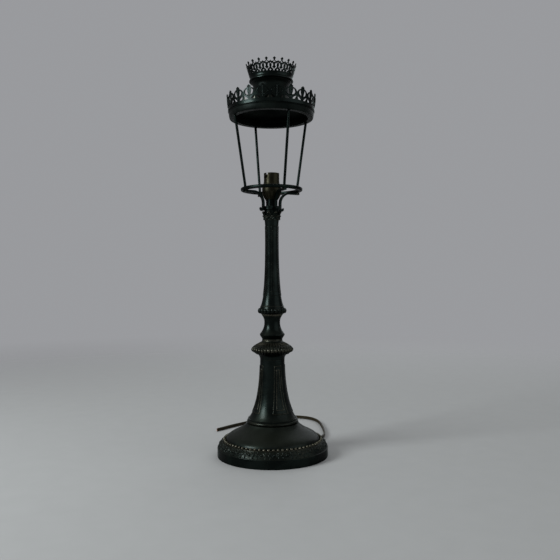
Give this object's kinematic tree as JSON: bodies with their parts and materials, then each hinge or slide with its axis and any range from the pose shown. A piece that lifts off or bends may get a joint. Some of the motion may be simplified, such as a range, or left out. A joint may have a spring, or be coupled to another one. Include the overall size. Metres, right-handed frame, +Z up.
{
  "type": "table lamp",
  "caption": "Table lamp shaped as a street lantern: round foot, baluster column, ring on scroll brackets, slanting rods, open hood with pierced galleries, bayonet lampholder.",
  "frame": {"origin": "on the table under the column's axis, at the centre of the foot's underside", "axes": "+Z up the column; the four lantern rods stand on the X and Y axes; the flex leaves the foot 20 degrees from +X towards +Y"},
  "size_m": [0.2691, 0.325, 0.6225],
  "materials": {
    "patinated_metal": "dark green-black patina, rubbed brown-gold on raised ornament",
    "holder_brass": "dull toned brass",
    "steel": "plain steel",
    "spring_steel": "bright spring wire",
    "insulator": "dark moulded",
    "bush": "matt",
    "flex_sheath": "brown-gold twin flex"
  },
  "bodies": {
    "lamp": {"foot": "patinated_metal", "foot_bead_ring": "patinated_metal", "foot_ring": "patinated_metal", "tie_tube": "steel", "tie_washer": "steel", "tie_nut": "steel", "cord_bush": "bush", "pedestal": "patinated_metal", "wide_knop": "patinated_metal", "spool_knop": "patinated_metal", "bead_collar": "patinated_metal", "shaft": "patinated_metal", "capital": "patinated_metal", "neck_sleeve": "patinated_metal", "bracket_1": "patinated_metal", "bracket_2": "patinated_metal", "bracket_3": "patinated_metal", "bracket_4": "patinated_metal", "lantern_ring": "patinated_metal", "rod_1": "patinated_metal", "rod_2": "patinated_metal", "rod_3": "patinated_metal", "rod_4": "patinated_metal", "hood_ring": "patinated_metal", "hood_shell": "patinated_metal", "hood_gallery": "patinated_metal", "chimney_neck": "patinated_metal", "crown_gallery": "patinated_metal", "holder_cup": "holder_brass", "holder_shell": "holder_brass", "holder_insulator": "insulator", "contact_spring_1": "spring_steel", "contact_spring_2": "spring_steel", "terminals": "holder_brass", "inner_flex": "flex_sheath", "lead_1": "flex_sheath", "lead_2": "flex_sheath", "flex": "flex_sheath"},
    "contact_1": {"contact_plunger_1": "holder_brass"},
    "contact_2": {"contact_plunger_2": "holder_brass"}
  },
  "joints": [
    {"name": "contact_1_press", "type": "slide", "parent": "lamp", "child": "contact_1", "axis": [0, 0, -1], "range_m": [0, 0.003], "stiffness_N_per_m": 800, "springref_m": -0.002, "deforming": ["contact_spring_1"]},
    {"name": "contact_2_press", "type": "slide", "parent": "lamp", "child": "contact_2", "axis": [0, 0, -1], "range_m": [0, 0.003], "stiffness_N_per_m": 800, "springref_m": -0.002, "deforming": ["contact_spring_2"]}
  ]
}
